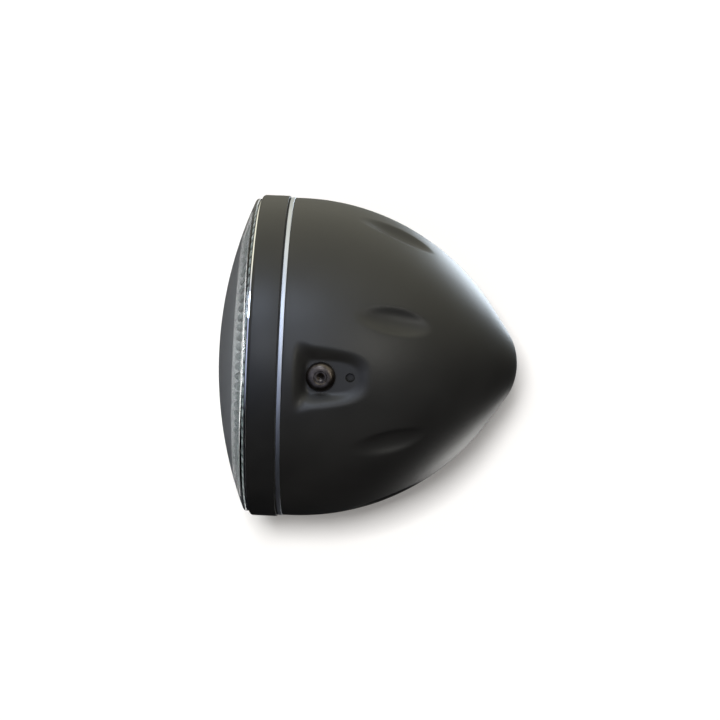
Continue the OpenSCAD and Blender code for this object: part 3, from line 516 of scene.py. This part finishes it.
above = blendOf(air, toward(worldLook["up"], -0.2, 0.95), worldLook["dark"], worldLook["warm"])
ahead = fromView(*worldLook["ahead"]).normalized()
mirrored = blendOf(air, toward(ahead, 0.50, 0.98), above, worldLook["cool"])
paths = addNode(air, "ShaderNodeLightPath")
even = [worldLook["diffuse"] * part for part in worldLook["even"]]
bent = addNode(air, "ShaderNodeMath", {"operation": "MAXIMUM"})
air.links.new(paths.outputs["Is Glossy Ray"], bent.inputs[0])
air.links.new(paths.outputs["Is Transmission Ray"], bent.inputs[1])
lit = blendOf(air, bent.outputs[0], even, mirrored)
seen = blendOf(air, paths.outputs["Is Camera Ray"], lit, (1, 1, 1))
background = addNode(air, "ShaderNodeBackground", Color=seen, Strength=1.0)
air.links.new(background.outputs[0], addNode(air, "ShaderNodeOutputWorld").inputs["Surface"])
bpy.context.scene.view_settings.view_transform = "Standard"
print("camera, floor, lamps and world placed")

# ---- bowl ----
bowlSizes = {"radius": 80.0, "mouth": -18.0, "bandEnd": -14.0, "flank": 118.0, "flankTurn": 55.02,
             "nose": 30.0, "wall": 2.6, "mouthRound": 0.4}
pocketSizes = {"floor": 73.5, "half": 8.0, "front": 7.2, "side": 1.2, "frontSide": 0.6,
               "rear": 18.0, "rearSide": 2.7, "back": 30.0,
               "foot": 0.4, "corner": 6.0, "rim": 2.2, "frontRim": 2.6}
scoopSizes = {"angles": (22.5, 70, 110, 157.5, 207, 253, 287, 333), "turn": 24.2, "length": 36.0, "depth": 2.7,
              "across": 10.0, "soft": (1.4, 0.8)}
gridSteps = {"around": 560, "foot": (12, 6.21), "rim": (27, 14.0)}


def bowlOutline(inset, fine):
    s = bowlSizes
    turn = math.radians(s["flankTurn"])
    centre = s["radius"] - s["flank"]
    cone = (centre + (s["flank"] - s["nose"]) * math.cos(turn)) / math.sin(turn)
    noseY = s["bandEnd"] + (s["flank"] - s["nose"]) * math.sin(turn) + cone * math.cos(turn)
    outer = s["radius"] - inset
    if inset == 0:
        bm, tip = newOutline(outer - s["mouthRound"], s["mouth"])
        tip = arcTo(bm, tip, outer - s["mouthRound"], s["mouth"] + s["mouthRound"], 90, 3)
    else:
        bm, tip = newOutline(outer, s["mouth"])
    tip = lineTo(bm, tip, outer, s["bandEnd"], 2)
    knots = [(0, 0), (3.11, 7), (22.0, 46), (36.0, 34), (s["flankTurn"], 16)]
    for (low, _), (high, cuts) in zip(knots, knots[1:]):
        tip = arcTo(bm, tip, centre, s["bandEnd"], high - low, max(2, round(cuts * fine)))
    tip = lineTo(bm, tip, (s["nose"] - inset) * math.cos(turn), noseY + (s["nose"] - inset) * math.sin(turn),
                 max(2, round(5 * fine)))
    arcTo(bm, tip, 0, noseY, 90 - s["flankTurn"], max(4, round(12 * fine)))
    return bm


def warpedAngle(angle):
    (footStep, footAngle), (rimStep, rimAngle) = gridSteps["foot"], gridSteps["rim"]
    quarter = gridSteps["around"] / 4
    base = math.floor(angle / 90 + 1e-9)
    part = (angle - base * 90) / 90 * quarter
    if base % 2:
        part = quarter - part
    if part < footStep:
        turned = footAngle * part / footStep
    elif part < rimStep:
        turned = footAngle + (rimAngle - footAngle) * (part - footStep) / (rimStep - footStep)
    else:
        turned = rimAngle + (90 - rimAngle) * (part - rimStep) / (quarter - rimStep)
    return base * 90 + (90 - turned if base % 2 else turned)


def pocketRadius(radius, angle, y, grow):
    p = pocketSizes
    if y > p["back"] or y < -16:
        return radius
    slope = math.hypot(1, p["side"]) - p["side"]
    frontSlope = math.hypot(1, p["frontSide"]) - p["frontSide"]
    half, front, ground = p["half"] + grow * slope, p["front"] + grow * frontSlope, p["floor"] - grow
    c, s = math.cos(angle), abs(math.sin(angle))
    if c - s / p["side"] < 0.3:
        return radius
    flat = ground / c
    wall = (ground - half / p["side"]) / (c - s / p["side"])
    ahead = (ground + (-y - front) / p["frontSide"]) / c
    behind = (ground + (y - p["rear"]) / p["rearSide"]) / c
    inner = softMax(flat, softMax(softMax(wall, ahead, p["corner"]), behind, p["corner"]), p["foot"])
    ahead = max(0.0, min(1.0, (-y - 4.0) / 6.0))
    return softMin(radius, inner, p["rim"] + p["frontRim"] * ahead)


def scoopMove(x, y, z, grow):
    q = scoopSizes
    turn = math.radians(q["turn"])
    cx = bowlSizes["radius"] - bowlSizes["flank"] + (bowlSizes["flank"] - grow) * math.cos(turn)
    cy = bowlSizes["bandEnd"] + (bowlSizes["flank"] - grow) * math.sin(turn)
    sag = q["length"] ** 2 / 8
    bow = sag / (q["depth"] - sag / bowlSizes["flank"])
    for angle in q["angles"]:
        a = math.radians(angle)
        px, w = x * math.cos(a) + z * math.sin(a), z * math.cos(a) - x * math.sin(a)
        if px < 0 or abs(w) > 14:
            continue
        s = (y - cy) * math.cos(turn) - (px - cx) * math.sin(turn)
        h = (px - cx) * math.cos(turn) + (y - cy) * math.sin(turn)
        if abs(s) > q["length"] * 0.75:
            continue
        rho = q["across"] - bow + math.sqrt(bow * bow - s * s)
        if abs(w) >= rho:
            continue
        depth = q["across"] - q["depth"] - math.sqrt(rho * rho - w * w)
        share = min(1, max(0, 0.5 + s / q["length"]))
        soft = q["soft"][0] + (q["soft"][1] - q["soft"][0]) * share
        fade = min(1.0, max(0.0, (q["length"] * 0.75 - abs(s)) / 4))
        move = (softMin(h, depth, soft) - h) * fade
        px, y = px + move * math.cos(turn), y + move * math.sin(turn)
        x, z = px * math.cos(a) - w * math.sin(a), px * math.sin(a) + w * math.cos(a)
    return x, y, z


def bowlSkin(inset, around, fine):
    bm = bowlOutline(inset, fine)
    turnRound(bm, around)
    for vertex in bm.verts:
        x, y, z = (c / mm for c in vertex.co)
        radius = math.hypot(x, z)
        if radius < 0.5:
            continue
        angle = math.radians(warpedAngle(math.degrees(math.atan2(z, x)) % 360))
        x, z = radius * math.cos(angle), radius * math.sin(angle)
        if y < 60:
            folded = abs(math.remainder(angle, math.pi))
            radius = pocketRadius(radius, folded, y, inset)
            x, z = radius * math.cos(angle), radius * math.sin(angle)
            x, y, z = scoopMove(x, y, z, inset)
        vertex.co = (x * mm, y * mm, z * mm)
    return bm


shell = bowlSkin(0, gridSteps["around"], 1.0)
lining = bpy.data.meshes.new("lining")
inner = bowlSkin(bowlSizes["wall"], gridSteps["around"], 0.3)
inner.to_mesh(lining)
inner.free()
shell.from_mesh(lining)
mouthEdges = [e for e in shell.edges if len(e.link_faces) == 1]
mouthHalf = (bowlSizes["radius"] - (bowlSizes["mouthRound"] + bowlSizes["wall"]) / 2) * mm
mouthRing = sorted({v for e in mouthEdges for v in e.verts}, key=lambda v: math.atan2(v.co.z, v.co.x))
outerRing = [v for v in mouthRing if v.co.xz.length > mouthHalf]
innerRing = [v for v in mouthRing if v.co.xz.length <= mouthHalf]
assert len(outerRing) == len(innerRing) == gridSteps["around"], (len(outerRing), len(innerRing))
for i in range(len(outerRing)):
    shell.faces.new((outerRing[i - 1], outerRing[i], innerRing[i], innerRing[i - 1]))
print("bowl's walls:", len(shell.faces), "faces")
bowlShell = finishPiece(shell, "bowlShell", powderBlack, ["bowl"], sharp=45)

# bosses, lugs and holes of the bowl
holeSizes = {"bossEnd": 61.5, "boss": 10.5, "bolt": 4.3, "nut": 7.68, "nutDeep": 6.5, "indexY": 13.8,
             "index": 2.0,
             "indexDeep": 5.0, "indexBoss": 5.0, "lugAt": 72.0, "lug": 6.0, "lugEnd": -6.0, "lugHole": 2.1,
             "outlet": (0, 5.0, -78.46), "outletTurn": 9.27, "sink": 2.3, "seat": 10.1, "rim": 11.3, "neck": 6.7,
             "pad": 3.0}


def outletPoint(h, depth):
    turn = math.radians(h["outletTurn"])
    return Vector(h["outlet"]) - depth * Vector((0, math.sin(turn), -math.cos(turn)))


def bossParts(h):
    bm = bmesh.new()
    for side in (-1, 1):
        addRod(bm, (side * h["bossEnd"], 0, 0), (side * 72.2, 0, 0), h["boss"])
    for i in range(4):
        a = math.radians(45 + 90 * i)
        x, z = h["lugAt"] * math.cos(a), h["lugAt"] * math.sin(a)
        addRod(bm, (x, -17.9, z), (x, h["lugEnd"], z), h["lug"], sides=48)
    return bm


def indexBosses(h):
    bm = bmesh.new()
    for side in (-1, 1):
        inner, outer = pocketSizes["floor"] - h["indexDeep"] - 3, 72.2
        addRod(bm, (side * inner, h["indexY"], 0), (side * outer, h["indexY"], 0), h["indexBoss"])
    addRod(bm, outletPoint(h, 1.0), outletPoint(h, h["sink"] + h["pad"]), h["rim"])
    return bm


def mainHoles(h):
    bm = bmesh.new()
    for side in (-1, 1):
        addRod(bm, (side * 60, 0, 0), (side * 80, 0, 0), h["bolt"])
        addRod(bm, (side * 76, h["indexY"], 0), (side * 73.2, h["indexY"], 0), h["index"] + 2.75,
               h["index"] - 0.05, 48)
    for i in range(4):
        a = math.radians(45 + 90 * i)
        x, z = h["lugAt"] * math.cos(a), h["lugAt"] * math.sin(a)
        addRod(bm, (x, -20, z), (x, h["lugEnd"] - 1, z), h["lugHole"], sides=32)
    addRod(bm, outletPoint(h, -8), outletPoint(h, h["sink"]), h["seat"])
    return bm


def deepHoles(h):
    bm = bmesh.new()
    for side in (-1, 1):
        inner = pocketSizes["floor"] - h["indexDeep"]
        addRod(bm, (side * 78, h["indexY"], 0), (side * inner, h["indexY"], 0), h["index"], sides=48)
        addRod(bm, (side * 60, 0, 0), (side * (h["bossEnd"] + h["nutDeep"]), 0, 0), h["nut"], sides=6)
    addRod(bm, outletPoint(h, -4), outletPoint(h, 8), h["neck"])
    return bm


for parts, way in ((bossParts, "UNION"), (indexBosses, "UNION"), (mainHoles, "DIFFERENCE"),
                   (deepHoles, "DIFFERENCE")):
    combine(bowlShell, parts(holeSizes), way, sharp=45)
print("bowl done:", len(bowlShell.data.polygons), "faces")


# ---- rings round the mouth ----
def ringPiece(points, soft, name, material, stands, steps=384, sharp=32, segments=3):
    bm = closedOutline(points)
    turnRound(bm, steps)
    if soft:
        softenEdges(bm, soft, segments)
    return finishPiece(bm, name, material, stands, sharp)


ringSizes = {"band": (66.0, 80.2, -20.0, -18.0), "spigot": (76.9, 78.9, -28.0), "seal": (79.0, 79.8, -20.8, -20.0),
             "trim": 80.8, "trimIn": 79.2, "lip": 74.6, "trimFront": -34.2, "rimIn": 79.0, "rimFront": -34.4,
             "lipRear": -32.4, "trimRound": 1.8, "screwY": -25.0, "soft": 0.22}


def bandOutline(s):
    low, high, front, rear = s["band"]
    wallIn, wallOut, end = s["spigot"]
    return [(low, rear), (low, front), (wallIn, front), (wallIn, end), (wallOut, end), (wallOut, front),
            (high, front), (high, rear)]


mouthBand = ringPiece(bandOutline(ringSizes), ringSizes["soft"], "mouthBand", bandAluminium,
                      ["mouth_ring"])
bandHoles = bmesh.new()
for quarterTurn in range(4):
    lugAngle = math.radians(45 + 90 * quarterTurn)
    lugX, lugZ = 72.0 * math.cos(lugAngle), 72.0 * math.sin(lugAngle)
    addRod(bandHoles, (lugX, -22, lugZ), (lugX, -16, lugZ), 2.3, sides=32)
addRod(bandHoles, (0, ringSizes["screwY"], -70), (0, ringSizes["screwY"], -84), 2.0, sides=32)
combine(mouthBand, bandHoles, "DIFFERENCE")
ringPiece([(79.0, -20.8), (79.8, -20.8), (79.8, -20.0), (79.0, -20.0)], 0.1, "mouthSeal", sealRubber,
          ["mouth_seal"])
ringPiece([(77.3, -35.4), (78.4, -35.4), (78.4, -35.0), (77.3, -35.0)], 0.08, "lensSeal", sealRubber,
          ["lens_seal"])


def trimShape(s):
    bm, tip = newOutline(s["lip"], s["lipRear"])
    first = tip
    tip = lineTo(bm, tip, s["lip"], s["trimFront"])
    tip = lineTo(bm, tip, s["rimIn"], s["trimFront"])
    tip = lineTo(bm, tip, s["rimIn"], s["rimFront"])
    tip = lineTo(bm, tip, s["trim"] - s["trimRound"], s["rimFront"])
    tip = arcTo(bm, tip, s["trim"] - s["trimRound"], s["rimFront"] + s["trimRound"], 90, 8)
    tip = lineTo(bm, tip, s["trim"], -20.8)
    tip = lineTo(bm, tip, s["trimIn"], -20.8)
    tip = lineTo(bm, tip, s["trimIn"], s["lipRear"])
    bm.edges.new((tip, first))
    turnRound(bm, 384)
    softenEdges(bm, s["soft"], 3, 40)
    return bm


trimBand = finishPiece(trimShape(ringSizes), "trimBand", trimBlack, ["trim_ring"])
hook = bmesh.new()
bmesh.ops.create_cube(hook, size=1, matrix=Matrix.Translation((0, -25.0 * mm, 77.85 * mm))
                      @ Matrix.Diagonal((14 * mm, 1.5 * mm, 4.3 * mm, 1)))
combine(trimBand, hook, "UNION")
screwSeat = bmesh.new()
addRod(screwSeat, (0, ringSizes["screwY"], -81.8), (0, ringSizes["screwY"], -78.0), 4.0, 0.2, 48)
combine(trimBand, screwSeat, "DIFFERENCE")

# ---- lens, fluted ring and reflector ----
glassSizes = {"outer": 78.7, "dome": 200.0, "edge": 1.7, "rear": -35.4, "thick": 1.2, "rim": 1.0, "round": 1.2}
glassSizes["domeY"] = glassSizes["rear"] - glassSizes["edge"] + math.sqrt(glassSizes["dome"] ** 2
                                                                          - glassSizes["outer"] ** 2)


def lensShape(s):
    roundAt = s["outer"] - s["round"]
    lean = math.degrees(math.asin(roundAt / (s["dome"] - s["round"])))
    roundY = s["domeY"] - math.sqrt((s["dome"] - s["round"]) ** 2 - roundAt ** 2)
    bm, tip = newOutline(0, s["domeY"] - s["dome"])
    tip = arcTo(bm, tip, 0, s["domeY"], lean, 40)
    tip = arcTo(bm, tip, roundAt, roundY, 90 - lean, 8)
    tip = lineTo(bm, tip, s["outer"], s["rear"])
    inside, within = s["outer"] - s["rim"], s["dome"] - s["thick"]
    tip = lineTo(bm, tip, inside, s["rear"])
    tip = lineTo(bm, tip, inside, s["domeY"] - math.sqrt(within ** 2 - inside ** 2))
    arcTo(bm, tip, 0, s["domeY"], -math.degrees(math.asin(inside / within)), 40)
    turnRound(bm, 288)
    return bm


finishPiece(lensShape(glassSizes), "domeLens", lensClear, ["lens"], sharp=50)

fluteSizes = {"count": 90, "steps": 12, "in": 66.0, "out": 77.4, "base": -35.0, "part": 0.62, "gap": 0.3,
              "rows": 14, "outEnd": 0.55, "scallop": 0.9}


def fluteShape(s):
    glass = glassSizes
    points = [(s["in"], s["base"]), (s["out"], s["base"])]
    for i in range(s["rows"]):
        r = s["out"] - (s["out"] - s["in"]) * (i / (s["rows"] - 1)) ** 1.3
        under = glass["dome"] - glass["thick"] - s["gap"]
        points.append((r, glass["domeY"] - math.sqrt(under ** 2 - r * r)))
    bm = closedOutline(points)
    turnRound(bm, s["count"] * s["steps"])
    for vertex in bm.verts:
        x, y, z = (c / mm for c in vertex.co)
        r, angle = math.hypot(x, z), math.atan2(z, x)
        phase = (math.degrees(angle) * s["count"] / 360 + 0.5 / s["steps"]) % 1
        crest = math.sqrt(max(0.0, 1 - (2 * phase - 1) ** 2))
        share = max(0.0, min(1.0, (s["out"] - r) / 1.6))
        end = s["outEnd"] + (1 - s["outEnd"]) * math.sqrt(share)
        if y < s["base"] - 1e-4:
            y = s["base"] + (y - s["base"]) * (1 - s["part"] * (1 - crest * end))
        if r > s["out"] - 1.2:
            r -= s["scallop"] * (1 - crest)
        vertex.co = (r * math.cos(angle) * mm, y * mm, r * math.sin(angle) * mm)
    return bm


finishPiece(fluteShape(fluteSizes), "fluteRing", fluteClear, ["fluted_ring"], sharp=40)

dishSizes = {"vertex": 11.7, "focal": 71.0 ** 2 / 4 / 46.7, "open": 71.0, "hole": 19.0, "seat": 13.7, "thick": 2.2}


def dishY(r):
    return dishSizes["vertex"] - r * r / 4 / dishSizes["focal"]


def dishShape(s):
    points = [(s["hole"] + (s["open"] - s["hole"]) * i / 48, 0) for i in range(49)]
    points = [(r, dishY(r)) for r, _ in points]
    points += [(78.4, -35.0), (78.4, -34.2), (74.3, -34.2), (74.3, -32.4), (73.0, -32.4), (73.0, -30.8),
               (74.3, -30.8), (74.3, -28.5), (71.1, -28.5)]
    back = [(71.1 - (71.1 - 35.0) * i / 24) for i in range(25)]
    points += [(r, dishY(r) + s["thick"]) for r in back]
    points += [(35.0, 18.6), (33.0, 18.6)]
    back = [33.0 - 9.0 * i / 6 for i in range(7)]
    points += [(r, dishY(r) + s["thick"]) for r in back]
    points += [(24.0, s["seat"]), (s["hole"], s["seat"])]
    bm = closedOutline(points)
    turnRound(bm, 256)
    return bm


dish = finishPiece(dishShape(dishSizes), "dish", brightMirror, ["reflector"], sharp=28)


def parkingCollar():
    bm = bmesh.new()
    for vertex in addRod(bm, (0, -12, -46), (0, 7.7, -46), 9.6, sides=96):
        if vertex.co.y < 0:
            vertex.co.y = (dishY(vertex.co.xz.length / mm) + 1.0) * mm
    return bm


combine(dish, parkingCollar(), "UNION", 28)
parkingHole = bmesh.new()
addRod(parkingHole, (0, -30, -46), (0, 20, -46), 7.4, sides=96)
combine(dish, parkingHole, "DIFFERENCE", 28)
print("mouth rings, lens, flutes and reflector done")


# ---- bulbs ----
bulbSizes = {"seat": 13.7, "tip": -38.3, "glass": 8.2, "wall": 0.9, "rod": 0.42, "rodAt": 2.6, "coil": 0.58,
             "wire": 0.12, "turns": 11, "filaments": ((-15.3, 2.4), (-8.3, -1.6))}


def glassTube(tip, radius, wall, end, height):
    bm, point = newOutline(0, tip)
    point = arcTo(bm, point, 0, tip + radius, 90, 12)
    point = lineTo(bm, point, radius, end, 4)
    point = lineTo(bm, point, radius - wall, end)
    point = lineTo(bm, point, radius - wall, tip + radius, 4)
    arcTo(bm, point, 0, tip + radius, -90, 12)
    turnRound(bm, 72)
    bmesh.ops.translate(bm, vec=(0, 0, height * mm), verts=bm.verts)
    return bm


b = bulbSizes
finishPiece(glassTube(b["tip"], b["glass"], b["wall"], b["seat"] - 1.2, 0), "quartzTube", quartzClear,
            ["bulb_glass"], sharp=50)
finishPiece(glassTube(-17.3, 4.8, 0.5, 2.68, -46), "parkingGlass", quartzClear, ["parking_bulb"],
            sharp=50)


def filamentSet(s):
    bm = bmesh.new()
    for y, z in s["filaments"]:
        for x in (-s["rodAt"], s["rodAt"]):
            addRod(bm, (x, y - s["coil"], z), (x, s["seat"] - 1.2, z), s["rod"], sides=16)
        circle = bmesh.ops.create_circle(bm, segments=8, radius=s["wire"] * mm)["verts"]
        bmesh.ops.translate(bm, vec=(-s["rodAt"] * mm, (y + s["coil"]) * mm, z * mm), verts=circle)
        edges = list({e for v in circle for e in v.link_edges})
        steps = s["turns"] * 20
        bmesh.ops.spin(bm, geom=circle + edges, cent=(0, y * mm, z * mm), axis=(1, 0, 0),
                       angle=2 * math.pi * s["turns"], steps=steps, dvec=(2 * s["rodAt"] * mm / steps, 0, 0))
        open_ = [e for e in bm.edges if len(e.link_faces) == 1]
        bmesh.ops.holes_fill(bm, edges=open_, sides=8)
    return bm


finishPiece(filamentSet(bulbSizes), "filaments", tungsten, ["bulb_filaments"])
ringPiece([(0.01, 12.5), (8.3, 12.5), (8.3, 10.1), (18.7, 10.1), (18.7, 13.7), (21.5, 13.7), (21.5, 14.9),
           (14.5, 14.9), (14.5, 24.9), (0.01, 24.9)], 0.15, "bulbBase", platedSteel, ["bulb_base"],
          96, segments=2)

# ---- side bolts and grommet ----
boltSizes = {"head": 7.0, "height": 4.4, "edge": 1.0, "flat": 3.887, "bend": 3.125, "shank": 4.0, "length": 16.0,
             "pitch": 1.25, "thread": 0.62, "hexagon": 2.887, "socket": 3.0, "floor": 73.5}


def boltShape(s):
    bm, tip = newOutline(0, -s["length"])
    tip = lineTo(bm, tip, s["shank"] - 0.8, -s["length"])
    tip = lineTo(bm, tip, s["shank"], -s["length"] + 0.8)
    tip = lineTo(bm, tip, s["shank"], -1.6, 80)
    tip = lineTo(bm, tip, s["shank"], 0)
    tip = lineTo(bm, tip, s["head"] - 0.25, 0)
    tip = lineTo(bm, tip, s["head"], 0.25)
    tip = lineTo(bm, tip, s["head"], s["edge"])
    turn = math.degrees(math.asin((s["height"] - s["bend"] - s["edge"]) / s["bend"]))
    tip = arcTo(bm, tip, s["flat"], s["height"] - s["bend"], 90 + turn, 12)
    tip = lineTo(bm, tip, s["hexagon"], s["height"])
    lineTo(bm, tip, 0, s["height"])
    turnRound(bm, 72)
    for vertex in bm.verts:
        x, y, z = (c / mm for c in vertex.co)
        radius = math.hypot(x, z)
        if -s["length"] + 0.9 < y < -1.7 and radius > 1:
            phase = (y / s["pitch"] + math.atan2(z, x) / (2 * math.pi)) % 1
            radius -= s["thread"] * abs(2 * phase - 1)
            angle = math.atan2(z, x)
            vertex.co = (radius * math.cos(angle) * mm, y * mm, radius * math.sin(angle) * mm)
    return bm


def sideBolt(name, node, side):
    s = boltSizes
    bolt = finishPiece(boltShape(s), name, blackOxide, [node])
    mouth = bmesh.new()
    addRod(mouth, (0, s["height"] + 0.5, 0), (0, s["height"] - 0.35, 0), s["hexagon"] + 0.85, s["hexagon"], 48)
    combine(bolt, mouth, "DIFFERENCE")
    hexagon = bmesh.new()
    addRod(hexagon, (0, s["height"] + 1, 0), (0, s["height"] - s["socket"], 0), s["hexagon"], sides=6)
    combine(bolt, hexagon, "DIFFERENCE")
    drill = bmesh.new()
    addRod(drill, (0, s["height"] - s["socket"] + 0.3, 0), (0, s["height"] - s["socket"] - 1.2, 0), 2.45, 0.05, 48)
    combine(bolt, drill, "DIFFERENCE")
    place = Matrix.Translation((side * s["floor"] * mm, 0, 0)) @ Matrix.Rotation(-side * math.pi / 2, 4, "Z")
    bolt.data.transform(place)
    smoothShading(bolt.data, 32)


sideBolt("boltRight", "side_bolt_right", 1)
sideBolt("boltLeft", "side_bolt_left", -1)

grommetShape = closedOutline([(4.0, 4.6), (9.8, 4.6), (9.8, 3.0), (6.6, 3.0), (6.6, 0.0), (9.8, 0.0), (9.8, -1.6),
                              (4.0, -1.6)])
turnRound(grommetShape, 96)
softenEdges(grommetShape, 0.4, 3)
bmesh.ops.rotate(grommetShape, cent=(0, 0, 0), verts=grommetShape.verts,
                 matrix=Matrix.Rotation(math.radians(90 + holeSizes["outletTurn"]), 3, "X"))
bmesh.ops.translate(grommetShape, vec=outletPoint(holeSizes, holeSizes["sink"]) * mm, verts=grommetShape.verts)
finishPiece(grommetShape, "grommet", sealRubber, ["cable_grommet"])
print("bulbs, bolts and grommet done")

# ---- finishes of the frame's own pieces ----
for name, finish in {
    "mouth_ring_screws": zincPlate, "rim_screw": blackOxide, "rim_nut": zincPlate, "snap_ring": springWire,
    "bulb_contacts": bladeBrass, "bulb_clip": springWire, "clip_screw": zincPlate, "bulb_connector": plugPlastic,
    "dust_boot": sealRubber, "parking_bulb_holder": plugPlastic, "side_nut_right": zincPlate,
    "side_nut_left": zincPlate,
}.items():
    solids[name].data.materials.clear()
    solids[name].data.materials.append(finish)
